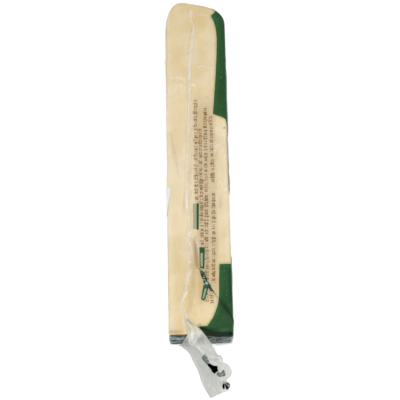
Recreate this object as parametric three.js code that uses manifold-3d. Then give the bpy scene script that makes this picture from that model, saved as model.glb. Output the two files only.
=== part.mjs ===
// A long wedge of hard sheep's-milk cheese, cut from a tall wheel and sealed in a vacuum bag.
// The wedge lies on one of its two cut faces, with its thin end towards +Y, its rind end
// towards -Y and +Z up. The origin is the middle of the face that it lies on.
// The bag is drawn tight over the cheese, so bag and cheese are one solid: the wedge, the
// seam that runs along its upper cut face, and the loose film tail at its rind end.

import * as THREE from "three";
import { mergeVertices } from "three/addons/utils/BufferGeometryUtils.js";
import Module from "manifold-3d";

// Wedge, in millimetres and degrees
const WHEEL_RADIUS = 175; // from the wheel's centre to its rind
const WEDGE_ANGLE = 17.5; // between the two cut faces
const SLAB_WIDTH = { tip: 27.6, rind: 28.4 }; // between the two flat sides
const TIP_RADIUS = 18.5; // the thin end stops this far from the wheel's centre
const EDGE_RADIUS = 2.2; // rounding of the long edges
const EDGE_SHARE = 0.8; // where the wedge is thin, at most this share of half its height is rounding
const RIND_ROUNDING = 1.8; // rounding of the edges round the rind
const TIP_ROUNDING = 2.4; // rounding of the thin end, seen from the side
const TIP_SLANT = 0.2; // how far the end line falls back for each millimetre across
const TIP_LEFT_CORNER = { across: 8, along: 12 }; // round corners, seen from above
const TIP_RIGHT_CORNER = { across: 8.5, along: 6.5 };
const WEDGE_STEPS = { across: 12, along: 44, up: 10 };

// Seam: a low flat strip along the upper cut face, as places across and distances from the wheel's centre
const SEAM_ROUTE = [
  [-1.6, 23], [-1.9, 26.6], [0.6, 30.4], [-1.7, 40], [-2.6, 55], [-3.4, 95], [-3.8, 120],
  [-3.6, 137], [-5.6, 150.5], [-7.7, 160.7], [-5.9, 168.2], [-4.7, 172.6],
];
const SEAM_WIDTH = 2.8;
const SEAM_HEIGHT = 0.7;
const SEAM_SINK = 0.6; // the strip's underside lies this far under the face
const SEAM_STEPS = { across: 4, along: 60, up: 1 };

// Tail: a folded sheet between three rails, as place across, distance past the rind's foot, height
const TAIL_LEFT_EDGE = [
  [-8.2, -4.5, 6], [-9.2, 0.6, 3], [-5.3, 5.3, 3], [-2.9, 10.2, 3], [-0.3, 18.1, 3], [4, 25.3, 3],
];
const TAIL_RIDGE = [
  [-6.2, -12, 48], [-4.6, -6.7, 50], [-2.1, -3.3, 48], [0.9, 0.8, 43], [4.4, 7.9, 33], [9, 18, 18],
];
const TAIL_RIGHT_EDGE = [
  [1, -12, 47], [2.3, -7.6, 48], [5.1, -2.6, 45], [7.7, 2.4, 39], [13, 11.1, 26], [12.3, 20.5, 10],
];
const TAIL_THICKNESS = 1.2;
const TAIL_FOLD = 0.9; // depth of the soft folds that run along the sheet
const TAIL_STEPS = { across: 16, along: 20, up: 1 };

const wedgeTurn = THREE.MathUtils.degToRad(WEDGE_ANGLE);
const tipHalfWidth = SLAB_WIDTH.tip / 2;
const wheelCentreY = (WHEEL_RADIUS + TIP_RADIUS) / 2;
const rindFootY = wheelCentreY - WHEEL_RADIUS;

const MERGE_DISTANCE = 1e-4;

const wasm = await Module();
wasm.setup();

function toSolid(geometry) {
  geometry.deleteAttribute("normal");
  geometry.deleteAttribute("uv");
  const merged = mergeVertices(geometry, MERGE_DISTANCE);
  return new wasm.Manifold(new wasm.Mesh({
    numProp: 3,
    vertProperties: new Float32Array(merged.attributes.position.array),
    triVerts: new Uint32Array(merged.index.array),
  }));
}

function toGeometry(solid) {
  const mesh = solid.getMesh();
  const geometry = new THREE.BufferGeometry();
  geometry.setAttribute("position", new THREE.BufferAttribute(mesh.vertProperties, mesh.numProp));
  geometry.setIndex(new THREE.BufferAttribute(mesh.triVerts, 1));
  geometry.computeVertexNormals();
  return geometry;
}

// Moves every vertex of a two-unit box to place(across, along, up), each from -1 to 1.
function shapedBox(steps, place) {
  const box = new THREE.BoxGeometry(2, 2, 2, steps.across, steps.along, steps.up);
  const corners = box.attributes.position;
  for (let i = 0; i < corners.count; i += 1) {
    const point = place(corners.getX(i), corners.getY(i), corners.getZ(i));
    corners.setXYZ(i, point.x, point.y, point.z);
  }
  return box;
}

// Even steps from -1 to 1, drawn together towards both ends, where the edges are rounded.
const crowded = (t) => Math.sin((t * Math.PI) / 2);

// How far a quarter round of this radius pulls in, at a distance from where it starts.
function roundedIn(distance, radius) {
  const rest = Math.max(radius - distance, 0);
  return radius - Math.sqrt(Math.max(radius * radius - rest * rest, 0));
}

// A point of the wheel: across it, out from its centre, and turned up from the lower cut face.
function wheelPoint(across, out, turn) {
  return new THREE.Vector3(across, wheelCentreY - out * Math.cos(turn), out * Math.sin(turn));
}

// Distance from the wheel's centre to the thin end, which is slanted with two round corners.
function tipDistance(across) {
  const leftStart = TIP_LEFT_CORNER.across - tipHalfWidth;
  const rightStart = tipHalfWidth - TIP_RIGHT_CORNER.across;
  const leftShare = Math.max(leftStart - across, 0) / TIP_LEFT_CORNER.across;
  const rightShare = Math.max(across - rightStart, 0) / TIP_RIGHT_CORNER.across;
  const leftFall = TIP_LEFT_CORNER.along * roundedIn(1 - leftShare, 1);
  const rightFall = TIP_RIGHT_CORNER.along * roundedIn(1 - rightShare, 1);
  return TIP_RADIUS + TIP_SLANT * Math.max(across - leftStart, 0) + leftFall + rightFall;
}

// Pulls a point of a rectangle's edge zone in to a round corner.
function roundCorner(a, b, halfA, halfB, radius) {
  const innerA = THREE.MathUtils.clamp(a, radius - halfA, halfA - radius);
  const innerB = THREE.MathUtils.clamp(b, radius - halfB, halfB - radius);
  const reach = Math.hypot(a - innerA, b - innerB);
  const most = Math.max(Math.abs(a - innerA), Math.abs(b - innerB));
  const pull = reach > 0 ? most / reach : 1;
  return [innerA + (a - innerA) * pull, innerB + (b - innerB) * pull];
}

function wedgePoint(across, along, up) {
  const tip = tipDistance(tipHalfWidth * crowded(across));
  const out = THREE.MathUtils.mapLinear(crowded(along), -1, 1, WHEEL_RADIUS, tip);
  const rindPull = roundedIn(WHEEL_RADIUS - out, RIND_ROUNDING);
  const tipPull = roundedIn(out - tip, TIP_ROUNDING);
  const halfHeight = (out * wedgeTurn) / 2 - rindPull - tipPull;
  const width = THREE.MathUtils.mapLinear(out, TIP_RADIUS, WHEEL_RADIUS, SLAB_WIDTH.tip, SLAB_WIDTH.rind);
  const half = width / 2 - rindPull;
  const radius = Math.min(EDGE_RADIUS, EDGE_SHARE * halfHeight);
  const [x, rise] = roundCorner(half * crowded(across), halfHeight * crowded(up), half, halfHeight, radius);
  return wheelPoint(x, out, wedgeTurn / 2 + rise / out);
}

function makeSeam() {
  const route = new THREE.CatmullRomCurve3(
    SEAM_ROUTE.map(([across, out]) => new THREE.Vector3(across, out, 0)),
  );
  return shapedBox(SEAM_STEPS, (across, along, up) => {
    const share = (1 - along) / 2;
    const middle = route.getPoint(share);
    const way = route.getTangent(share);
    const aside = (across * SEAM_WIDTH) / 2;
    const out = middle.y - aside * way.x;
    const rise = up > 0 ? SEAM_HEIGHT * (1 - across ** 2) : -SEAM_SINK;
    return wheelPoint(middle.x + aside * way.y, out, wedgeTurn + Math.atan(rise / out));
  });
}

function makeTail() {
  const rail = (points) => new THREE.CatmullRomCurve3(
    points.map(([across, past, height]) => new THREE.Vector3(across, rindFootY - past, height)),
  );
  const left = rail(TAIL_LEFT_EDGE);
  const ridge = rail(TAIL_RIDGE);
  const right = rail(TAIL_RIGHT_EDGE);
  const middle = (across, along) => {
    const share = (along + 1) / 2;
    const edge = (across < 0 ? left : right).getPoint(share);
    const point = ridge.getPoint(share).lerp(edge, Math.abs(across));
    point.x += TAIL_FOLD * share * Math.sin(2 * Math.PI * across);
    return point;
  };
  const nudge = 0.02;
  const difference = (from, to) => new THREE.Vector3().subVectors(to, from);
  return shapedBox(TAIL_STEPS, (across, along, up) => {
    const acrossWay = difference(middle(across - nudge, along), middle(across + nudge, along));
    const start = Math.max(along - nudge, -1);
    const end = Math.min(along + nudge, 1);
    const alongWay = difference(middle(across, start), middle(across, end));
    const outward = acrossWay.cross(alongWay).normalize();
    return middle(across, along).addScaledVector(outward, (up * TAIL_THICKNESS) / 2);
  });
}

const wedge = toSolid(shapedBox(WEDGE_STEPS, wedgePoint));
const sealedPack = new THREE.Mesh(
  toGeometry(wedge.add(toSolid(makeSeam())).add(toSolid(makeTail()))),
  new THREE.MeshStandardMaterial({ color: 0xe0cda4, roughness: 0.3, metalness: 0 }),
);
sealedPack.name = "sealed_pack";

const cheese = new THREE.Group();
cheese.add(sealedPack);

export default cheese;
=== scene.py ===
"""Looks of a vacuum-packed wedge of hard cheese: the cheese with its dark rind, the printed film drawn
tight over it, the seam along its upper cut face and the loose tail of film at its rind end."""

import math
import random

import bmesh
import bpy
import numpy as np
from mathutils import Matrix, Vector, noise


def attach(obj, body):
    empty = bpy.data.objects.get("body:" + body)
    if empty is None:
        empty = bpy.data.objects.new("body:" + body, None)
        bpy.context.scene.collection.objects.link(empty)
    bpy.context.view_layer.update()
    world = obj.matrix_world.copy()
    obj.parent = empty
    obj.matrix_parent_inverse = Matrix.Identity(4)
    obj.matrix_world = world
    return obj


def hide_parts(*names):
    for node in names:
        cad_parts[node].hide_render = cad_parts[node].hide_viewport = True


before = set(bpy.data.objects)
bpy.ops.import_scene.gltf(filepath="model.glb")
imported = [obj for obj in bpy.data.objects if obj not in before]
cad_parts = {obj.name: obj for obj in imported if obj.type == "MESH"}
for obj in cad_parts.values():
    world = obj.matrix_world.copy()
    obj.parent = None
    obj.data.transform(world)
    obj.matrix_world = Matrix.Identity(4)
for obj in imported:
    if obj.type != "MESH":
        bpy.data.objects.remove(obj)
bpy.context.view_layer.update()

MM = 0.001
TINY = 1e-12


def rgb(red, green, blue):
    """A colour given as on a screen, as the shader wants it."""
    def linear(value):
        share = value / 255
        return share / 12.92 if share <= 0.04045 else ((share + 0.055) / 1.055) ** 2.4
    return (linear(red), linear(green), linear(blue), 1)


# The wedge, cut from a wheel whose axis runs across the table behind the thin end
WHEEL_RADIUS = 175 * MM
TIP_RADIUS = 18.5 * MM
WEDGE_ANGLE = math.radians(17.5)
TIP_HALF_WIDTH = 13.8 * MM
RIND_HALF_WIDTH = 14.2 * MM
HALF_WIDTH = (TIP_HALF_WIDTH + RIND_HALF_WIDTH) / 2
WEDGE_LENGTH = WHEEL_RADIUS - TIP_RADIUS
WHEEL_CENTRE = Vector((0, (WHEEL_RADIUS + TIP_RADIUS) / 2, 0))
RIND_FOOT_Y = WHEEL_CENTRE.y - WHEEL_RADIUS
TIP_SLANT = 5.4 * MM
TIP_ALLOWANCE = 2.3 * MM  # the rounding takes about this much off again
TIP_LEFT_CORNER = (8.3 * MM, 15.8 * MM)
TIP_RIGHT_CORNER = (11 * MM, 7 * MM)
CORNER_SEGMENTS = 8
SPIN_STEPS = 20
SKIN_GRAIN = 0.55 * MM
SKIN_SMOOTHING = 34
SMOOTHING_STRENGTH = 0.5

# The cheese: how far it lies under the film, how uneven it is, and how far its rind and shades reach
FILM_GAP = 0.25 * MM
CHEESE_UNEVEN = 0.12 * MM
UNEVEN_GRAIN = 60
CRUMB_GRAIN = 700
CRUMB_SHARE = 0.35
RIND_DEPTH = 0.5 * MM
RIND_SHADE = 7 * MM
RIND_TOP_SHADE = 5 * MM
RIND_TOP_FADE = (8 * MM, 3 * MM)
RIND_EDGE_FACING = (0.3, 0.6)
RIND_CLING = 0.8

# Pale bloom by distance from the wheel's centre, and more of it by the edges, on the right and on the sides
BLOOM_PLACES = [20, 60, 95, 130, 150, 172]
BLOOM = [0.07, 0.12, 0.31, 0.21, 0.04, 0.12]
RIM_BLOOM = 0.16
RIM_INSET = 0.9
RIM_FADE = (2.55, 0.85)
RIGHT_BLOOM = 0.03
RIGHT_FADE = (-1, 5)
SIDE_BLOOM = 0.1
SIDE_FADE = 4

# Colours of the cheese and its rind
PASTE_DEEP = rgb(216, 191, 137)
PASTE_PALE = rgb(224, 202, 152)
PASTE_BLOOM = rgb(240, 232, 214)
PASTE_GRAIN = rgb(202, 172, 118)
PASTE_SPECK = rgb(140, 92, 52)
PASTE_BY_RIND = rgb(205, 168, 105)
RIND_BLACK = rgb(6, 9, 8)
RIND_SCUFF = rgb(104, 124, 122)
RIND_GREEN = rgb(18, 52, 22)
# painted shade: the rind plain black along its upper edge, where it shows no sheen
RIND_UPPER_EDGE = rgb(6, 8, 8)
RIND_FLAKE = rgb(98, 74, 42)

# Film: its thickness, its shine square on and along its edges, and how much light its milk lets through
FILM_THICKNESS = 0.12 * MM
FILM_INDEX = 1.45
FILM_SHINE = 0.035
FILM_EDGE_SHINE = 0.06
FILM_LETS_THROUGH = 0.05
TAIL_LETS_THROUGH = 0.5
SEAM_SHINE = 0.01
INK_SHINE = 0.1

# Film's unevenness: fine ripples all over, and waves on the rind that flatten towards its foot
RIPPLE_HEIGHT = 0.05 * MM
RIPPLE_GRAIN = (260, 60, 260)
RIND_WAVE_HEIGHT = 0.5 * MM
RIND_WAVE_GRAIN = 110
RIND_TIGHT_FOOT = 14 * MM
RIND_LEAST_SLACK = 0.1
LYING_FACING = (-0.6, -0.2)
RIND_RIM_HAZE = 0.25

# Colours of the film's milk and print, and of the painted shade on the tail
MILK_WHITE = rgb(255, 251, 238)
MILK_ON_RIND = rgb(222, 234, 234)
SEAM_THIN_MILK = rgb(254, 244, 222)
SEAM_FULL_MILK = rgb(255, 252, 242)
# grey milk of the tail: partly the film's own tint, partly painted shade of the table seen through it
TAIL_GREY_MILK = rgb(187, 188, 181)
TAIL_WHITE_MILK = rgb(253, 253, 246)
# painted shade where the tail's folds open and inside its rolled corner
MARK_GREY = rgb(92, 104, 103)
MARK_BLACK = rgb(3, 4, 4)
GREEN_DEEP = rgb(36, 69, 39)
GREEN_PALE = rgb(48, 85, 51)
# brighter green along its edge: the film's haze and painted sheen
GREEN_EDGE = rgb(50, 104, 60)
GREEN_FLECK = rgb(84, 128, 88)
# paler green in the folds: the film's milk there and painted reflection
GREEN_FOLD = rgb(112, 146, 118)
# painted shade on the green, by the rind's edge and along the shade paths
GREEN_SHADE = rgb(0, 24, 8)
# painted shade in the crease on the green
GREEN_IN_CREASE = rgb(6, 22, 12)
# painted shade, brown on the cheese and grey by the sides; the brown also tints the film round the strokes
SHADE_BROWN = rgb(158, 127, 90)
SHADE_GREY = rgb(146, 154, 146)
FRINGE_GREEN = rgb(178, 190, 138)
STROKE_BROWN = rgb(130, 95, 60)
BAR_GREEN = rgb(30, 84, 50)
BAR_PALE = rgb(150, 168, 138)
CREASE_BLACK = rgb(8, 16, 12)
CREASE_GREEN = rgb(36, 96, 56)
CREASE_SILVER = rgb(196, 204, 206)
CREASE_GREY = rgb(50, 56, 46)
PANEL_WHITE = rgb(228, 227, 220)

# Places of the film, in millimetres round the girth from the middle of the upper face and out from the centre
SIDE_START = HALF_WIDTH / MM
RIND_START = WHEEL_RADIUS / MM
RIND_FACING = 0.72  # film that faces this much away from the wheel's centre is on the rind
RIND_RIM_FADE = (RIND_START - 2.5, RIND_START - 0.5)
RIND_RIM_SIDE = SIDE_START - 1
RIND_MILK_FADE = (RIND_START + 0.3, RIND_START + 1.2)
# where painted shade on the green comes in by the rind's edge
GREEN_DARK_FADE = (RIND_START - 1.9, RIND_START - 0.8)

# Outlines of the printed fields
WRAP_UNDER = 7  # the green runs on this far under the pack
GREEN_TIP_EDGE = [(9.9, 15), (9.9, 23.1), (7.5, 25.6)]
GREEN_TIP_CURVE = [
    (7.5, 25.6), (8.8, 28.6), (9.7, 33), (9.9, 40), (9.2, 52.4), (8.2, 64.6), (7.4, 73.7),
]
GREEN_WINDOW_CURVE = [
    (12.3, 75.7), (13.5, 76.9), (14.6, 79.6), (17, 81), (24, 80.5), (31, 83.5), (36, 90), (38.5, 102),
    (38.5, 118), (34, 132), (23, 141), (13.9, 143.5),
]
GREEN_RIND_CURVE = [(8.7, 143.6), (8.4, 150.8), (8, 159.7), (5.7, 166.7), (2.9, 171)]
GREEN_RIND_EDGE = [
    (-0.6, 171.2), (-1.5, 174), (-1, 177), (3.2, 177.2), (7, 178.2), (14.6, 177.6), (15.4, 173.8),
]
BADGE_MIDDLE = (24.4, 96)
BADGE_REACH = (8.9, 12)
WHITE_PANEL_MIDDLE = (-28.6, 111)
WHITE_PANEL_REACH = (16, 6.5)
WHITE_PANEL_CORNER = 1.6
WHITE_PANEL_TURN = math.radians(-12.8)
GREEN_BARS = [
    [(-0.8, 115.6), (0.3, 115.6), (0, 127.9), (-0.9, 127.9)],
    [(0.1, 135.8), (2.5, 135.9), (2.1, 145.7), (0.2, 145.2)],
    [(1.7, 152.4), (3.9, 153.8), (1.8, 160.2), (0.4, 159.1)],
]
PALE_BARS = [
    [(-2.3, 115.7), (-0.7, 115.7), (-0.9, 127.6), (-2.4, 127.4)],
    [(0.5, 138.4), (1.6, 138.4), (1.4, 144.9), (0.5, 144.6)],
    [(2.2, 154.2), (2.9, 154.6), (1.6, 159.2), (1, 158.8)],
]

# The crease that gathers the print: its path, and its half widths by distance from the wheel's centre
PRINT_CREASE = [
    (-1, 143.2), (-0.4, 145.1), (0.9, 146.6), (2, 149.6), (3, 152.4), (4.4, 154.4), (6.4, 156.7),
    (8.3, 159.7), (10.2, 162.6), (13.3, 166.9), (17, 170),
]
CREASE_PLACES = [143.5, 146, 147.5, 153, 154.5, 156, 160, 170]
CREASE_HALF_WIDTHS = [0.1, 0.3, 1, 1.1, 0.6, 0.28, 0.12, 0.1]
CREASE_TURNS_GREY = (153.5, 155.5)

# Fields of print: how soft their edges are, and how strong their ink is
PRINT_FIELDS = {
    "pale_bars": (0.1, 0.6),
    "bars": (0.06, 0.92),
    "crease": (0.12, 0.9),
    "green": (0.08, 1),
    "white": (0.08, 1),
}

# The green's faint fringe and the tint round the strokes: where they fade, and how strong they are
FRINGE_EDGE = (-1.4, -0.1)
FRINGE_STRENGTH = 0.2
TINT_EDGES_ROUND = [(-2.2, 0.5), (9.5, 7)]
TINT_EDGES_OUT = [(62, 72), (164, 157)]
TINT_STRENGTH = 0.15

# Painted shade under the film's folds, creases and edges, brown on the cheese and dark on the green, with a
# few brown specks and patches among them: path, half width and strength
SHADES = [
    ([(-2, 130.5), (-1.5, 137), (-1.3, 142.5), (-1, 146)], 1, 0.5),
    ([(-3.1, 138), (-2.8, 148.7), (-3.5, 155.9), (-5, 166)], 1.3, 0.16),
    ([(14.8, 76), (14.9, 92), (15.1, 112)], 0.9, 0.75),
    ([(-13.4, 26), (-13.5, 45), (-13.5, 72)], 0.9, 0.1),
    ([(-14.5, 173.2), (-11, 173.6), (-7, 173.6)], 0.9, 0.3),
    ([(-12.1, 81), (-10, 93), (-8, 104.7)], 0.6, 0.12),
    ([(-6.1, 109.4), (-6.2, 115), (-6.3, 120.9)], 0.35, 0.15),
    ([(12.2, 80.2), (12.4, 80.5), (12.5, 80.8)], 0.45, 0.8),
    ([(-6.1, 154.5), (-6, 154.8), (-5.9, 154.9)], 0.35, 0.7),
    ([(-6.2, 116.3), (-6.2, 116.5), (-6.2, 116.7)], 0.3, 0.5),
    ([(8, 91), (8.1, 94), (7.9, 97.5)], 0.9, 0.16),
    ([(9.5, 112), (9.6, 115.5), (9.3, 119)], 1, 0.14),
    ([(-1.6, 170.8), (1.5, 172.4), (4, 173.4), (9, 174)], 1.1, 1),
    ([(7.4, 158.6), (10.2, 162.6), (13.3, 166.9), (17, 170)], 1.2, 0.7),
    ([(13.4, 144), (13.4, 152), (13.6, 162)], 0.7, 0.45),
]
SHADE_TURNS_GREY = (12.7, 13.3)  # by the sides

# Rows of short printed strokes: where each row starts and ends, and the sizes of its strokes and groups
STROKE_ROWS = [
    ((-0.4, 66.8), (-0.7, 115)), ((1.5, 80.8), (1.5, 135.3)), ((4, 70.8), (3.3, 150.6)),
    ((6.4, 74.7), (6.7, 105.9)), ((6.9, 111), (6.1, 152)), ((2.5, 155.1), (3.3, 160.7)),
    ((4.7, 154.9), (5.4, 161.8)),
]
STROKE_HALF_HEIGHT = 0.58
STROKE_REACH = 0.5
STROKE_OPENING = 0.45 * STROKE_HALF_HEIGHT
STROKE_STRENGTH = 0.66
STROKE_STEP = 0.3
GROUP_STEP = 3.1
GROUP_SHARE = 0.86
ROW_SHIFT = 1.3
ROW_DRAWS = 1000

# Draws from nought to one that make a stroke tall, deep, open in the middle or left bare
TALL_FROM = 0.72
DEEP_FROM = 0.86
OPEN_FROM = 0.66
BARE_TO = 0.24

# Folds of the film on the upper face: path, height, width, and how white the film turns there
FOLDS = [
    ([(-0.8, 24.4), (4, 24.7), (7.4, 25.6), (12, 28)], 0.25, 0.8, 0.2),
    ([(0.6, 50.2), (4, 50.6), (8.3, 51.4)], 0.03, 0.6, 0.35),
    ([(-8.6, 55.4), (-6.4, 56.2), (-4.5, 58)], 0.03, 0.6, 0.5),
    ([(-11.8, 55.9), (-10.4, 55.6), (-9, 56.2)], 0.03, 0.5, 0.45),
    ([(-8.6, 58), (-6.2, 59.6), (-4.4, 60)], 0.03, 0.5, 0.4),
    # a spot of white milk that stands for a glint: painted highlight
    ([(-1.5, 59), (-0.9, 59.3), (-0.3, 59.2)], 0.06, 0.75, 1.0),
    ([(-1.1, 142.5), (1.4, 147), (3.4, 154.2), (6.8, 158.7), (8.9, 160.6), (13.5, 167), (19, 171)],
     0.5, 0.8, 0.1),
    ([(-9.4, 158), (-7.6, 166), (-6, 174)], 0.3, 0.9, 0.3),
    ([(12.6, 171.4), (8, 172.8), (4, 173)], 0.4, 0.9, 0.05),
    ([(13, 174), (8.5, 175.4), (4.5, 174.8)], 0.4, 0.7, 0.02),
    ([(-9, 31), (-9.8, 70), (-9.2, 120), (-9.8, 165)], 0.07, 1.3, 0.06),
    ([(-5, 53), (-5.4, 90), (-6, 135)], 0.1, 1, 0.1),
    ([(-0.9, 57), (-1.6, 90), (-1.9, 128)], 0.1, 0.9, 0.1),
    ([(-2.7, 130.6), (-1.4, 132.5), (-0.3, 135.7), (-0.2, 138.9)], 0.25, 0.4, 0.6),
    ([(-5.2, 129.7), (-5.4, 134.7), (-5.2, 142.4)], 0.2, 0.5, 0.3),
    ([(-4.2, 126.5), (-4.1, 134), (-3.9, 143)], 0.05, 1.8, 0.25),
    ([(-4.9, 128.2), (-4.3, 129.8), (-3.3, 131.2)], 0.1, 1.1, 0.55),
    ([(-4.7, 133.4), (-4, 134.5), (-3.4, 135.6)], 0.1, 0.8, 0.5),
    ([(-4.3, 137.2), (-3.8, 138.1), (-3.5, 139.2)], 0.1, 0.7, 0.45),
    ([(-4.4, 141), (-4, 142), (-4.1, 143.4)], 0.1, 0.7, 0.5),
    ([(-3.4, 145), (-4.1, 146.9), (-4.8, 148.7), (-5.8, 152)], 0.12, 0.8, 0.5),
    ([(-5.4, 154.8), (-5.9, 156.3), (-6.8, 157.6), (-7.8, 159.6)], 0.12, 0.7, 0.5),
    ([(-3.1, 153.2), (-3.4, 156.3), (-3.7, 159)], 0.15, 0.4, 0.3),
    ([(7.2, 85.7), (8.3, 89.6), (7.4, 94.4)], 0.04, 0.8, 0.3),
    ([(10.1, 87.3), (10.3, 89.4), (11.5, 91.5), (12.5, 95.3)], 0.04, 0.8, 0.36),
    ([(9.6, 104.4), (11, 107.5), (13, 110.2)], 0.04, 0.9, 0.3),
]

# The long pull on the rind, by places across it and down from its upper edge, and the number of random folds
RIND_PULL = ([(13.5, 3), (11, 10), (8.5, 18), (6, 25)], 0.4, 2.2, 0.18)
FACE_FOLDS = 40
SIDE_FOLDS = 48
RIND_FOLDS = 40
FOLD_SEED = 7

# Seam strip: place across, distance from the wheel's centre, half width
SEAM_ROUTE = [
    (-1.9, 22.6, 1.2), (-1.8, 24.4, 1.3), (-2.2, 26.9, 0.8), (-1.1, 28.4, 0.45), (-0.4, 30.9, 0.9),
    (-0.6, 33.4, 1.1), (-1.5, 38.4, 1.2), (-2.3, 43.8, 1.1), (-2.8, 51.6, 0.9), (-2.8, 61.9, 0.8),
    (-3, 71.6, 1.3), (-3.3, 81.1, 1.5), (-3.6, 90.6, 1.6), (-4.2, 100.1, 1.6), (-4.4, 109.4, 1.5),
    (-4.4, 117.3, 1.2), (-3.8, 124.2, 1.3), (-4.1, 129.7, 1.6), (-4.6, 135.1, 1.5), (-4.6, 142, 1.2),
    (-5.4, 149.1, 1.2), (-6.2, 154.9, 1.2), (-7.2, 158.2, 0.9), (-7.8, 160.7, 0.8), (-7.2, 162.9, 0.9),
    (-6.2, 165.8, 0.9), (-5.9, 168.2, 1.1), (-5, 170.6, 1.5),
]
SEAM_STEPS = (24, 320)
SEAM_LIFT = 0.3
SEAM_SINK = 0.1
SEAM_WAVES = 30
SEAM_UNEVEN = 0.25
SEAM_CROWN = 0.6
SEAM_CROWN_UNEVEN = 0.3

# The seam's two pressed lines: place across and share, width, height and milk, and where they show
SEAM_LINES = [(-0.4, 0.95), (0.8, 0.3)]
SEAM_LINE_WIDTH = 0.4
SEAM_LINE_HEIGHT = 0.25
SEAM_LINE_MILK = 1.6
SEAM_SPLIT_PLACES = [60, 72, 120, 135]
SEAM_SPLIT = [0, 1, 1, 0]

# How milky the seam is, by distance from the wheel's centre
SEAM_PLACES = [20, 26, 31, 36, 42, 50, 60, 72, 100, 118, 128, 140, 150, 156, 165, 172]
SEAM_MILK = [0.28, 0.24, 0.16, 0.22, 0.3, 0.38, 0.3, 0.14, 0.16, 0.22, 0.24, 0.14, 0.16, 0.18, 0.28, 0.45]
SEAM_CLEAR_SHARE = 0.65
SEAM_MOST_MILK = 0.9

# Tail: three rails, as place across, distance past the rind's foot, height
TAIL_LEFT_EDGE = [
    (-6.8, -14.2, 50.9), (-5.4, -11.4, 52), (-5.7, -8.8, 53), (-6.6, -7, 50.6), (-7.9, -4.4, 43),
    (-8.9, -2.2, 32), (-9.6, -0.2, 18), (-9.9, 0.7, 5), (-8.8, 1.9, 3), (-5.6, 4.5, 3), (-3.8, 8.2, 3),
    (-2.1, 11.7, 3), (-0.9, 14.6, 3), (0, 17.6, 3), (1.4, 21, 3), (4, 25.7, 2.5),
]
TAIL_RIDGE = [
    (-6.5, -15.5, 51.3), (-4.7, -11.3, 52.4), (-4.5, -8.3, 53.3), (-4.2, -4.9, 51), (-1.6, -3, 48),
    (0.9, 1, 43), (2.6, 6, 36), (4.7, 10.1, 29.5), (6.8, 13.5, 23), (8.1, 16.8, 17), (8.8, 22.6, 9),
]
TAIL_RIGHT_EDGE = [
    (-5.2, -14.6, 50.7), (-1.9, -12.1, 52.1), (0, -10.6, 53), (1.6, -8.6, 53.4), (2.7, -6.7, 51.2),
    (3.8, -4.8, 47.4), (6.2, -0.3, 42.3), (7.3, 2.3, 39.8), (8.5, 2.6, 39), (9.4, 3.6, 38),
    (9.3, 5, 36), (11.3, 6.5, 33), (12.8, 8.6, 29), (13.5, 11.6, 24), (13, 13.7, 20.5),
    (11.7, 15.1, 17.5), (11.5, 16.9, 15), (12.3, 19.3, 11.5), (12.4, 21.9, 8.5),
]
TAIL_STEPS = (90, 90)
TAIL_LOWEST = 1

# Shares of the tail's length: pleats end, crumples are full, the white root ends, the clear start ends
TAIL_PLEATS_TO = 0.4
TAIL_CRUMPLES_FROM = 0.3
TAIL_ROOT_TO = 0.36
TAIL_CLEAR_TO = 0.08

# Patches of painted shade where the tail's folds open, its strands and creases, and its clear patch, by place
# across and past the rind's foot
TAIL_GREY_MARKS = [
    [(1.6, 0.8), (2.4, 2.3), (3.5, 4.9), (2.4, 7), (1.1, 5.6), (0.1, 4.1), (0.5, 2.4)],
    [(7.3, 10.5), (8.3, 11.4), (9.8, 9.5), (10.8, 11.9), (10.5, 13.2), (7.9, 13.7), (6.5, 11.9)],
]
TAIL_BLACK_MARK = [
    (3.3, 5.6), (5.5, 7.3), (7.2, 7.3), (7.1, 8.7), (7.5, 10.1), (5.3, 11.9), (4.3, 10.9), (4.5, 9.5),
    (2.5, 6.7),
]
TAIL_STRANDS = [
    [(-7.4, -17), (-5.4, -11.4), (-4.8, -7.8), (-4.6, -4.6), (-3.5, -3.5), (-1.9, -2.9), (-0.5, -1.6),
     (0.7, 0.4), (1.4, 2.4)],
    [(-6.6, -16), (-5.4, -12), (-5.6, -8.8), (-5.4, -6)],
    [(0.2, -10), (-1.3, -7.4), (-2.7, -5.4), (-4.1, -3.7)],
    [(-4, -10.8), (-3.7, -8.2), (-3.9, -5.5)],
]
TAIL_STRAND_WIDTH = 0.55
TAIL_STRAND_LIFT = 0.4 * MM
TAIL_CREASES = [
    [(3, 3.3), (5.4, 4.1), (8.3, 3.9)],
    [(2.3, 7.8), (5.4, 12.3), (9, 18.1)],
    [(4.9, 14.3), (7.2, 19.1)],
]
TAIL_CREASE_WIDTH = 0.35
TAIL_CREASE_DEPTH = 0.25 * MM
TAIL_CLEAR_MIDDLE = (0.2, -6.5)
TAIL_CLEAR_REACH = 2.2
TAIL_CLEARNESS = 0.5

# How much each part of the tail adds to its whiteness, with painted light on its right side, painted
# highlight at its sharp creases and painted shade in its creases
RIGHT_SIDE_WHITE = 0.56
STRAND_WHITE = 0.75
CREASE_WHITE = -0.4
ROOT_WHITE = 0.22
PLEAT_WHITE = 0.4
SHARP_CREASE_WHITE = 0.3

# The tail's rolled corner, with patches of painted shade inside the roll as middle and half width in degrees
# round the roll
CURL_FOOT = (10.5, -95.9, 14.2)
CURL_LEAN = (0.2, -0.25, 0.9)
CURL_LENGTH = 3
CURL_RADIUS = 2
CURL_TURNS = 1.3
CURL_INNER_SHARE = 0.8
CURL_FOOT_SHARE = 0.2
CURL_STEPS = (60, 10)
CURL_BLACK_PARTS = [(0, 56), (116, 26), (360, 56)]
CURL_GREY_PARTS = [(205, 62)]
CURL_WHITENESS = 0.8

# The photograph's camera, straight above
CAMERA_PLACE = (0.83 * MM, -12.12 * MM, 687.4 * MM)
CAMERA_LENS = 133.07
CAMERA_SENSOR = 36
CAMERA_TURN = math.radians(-1.162)

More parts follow.
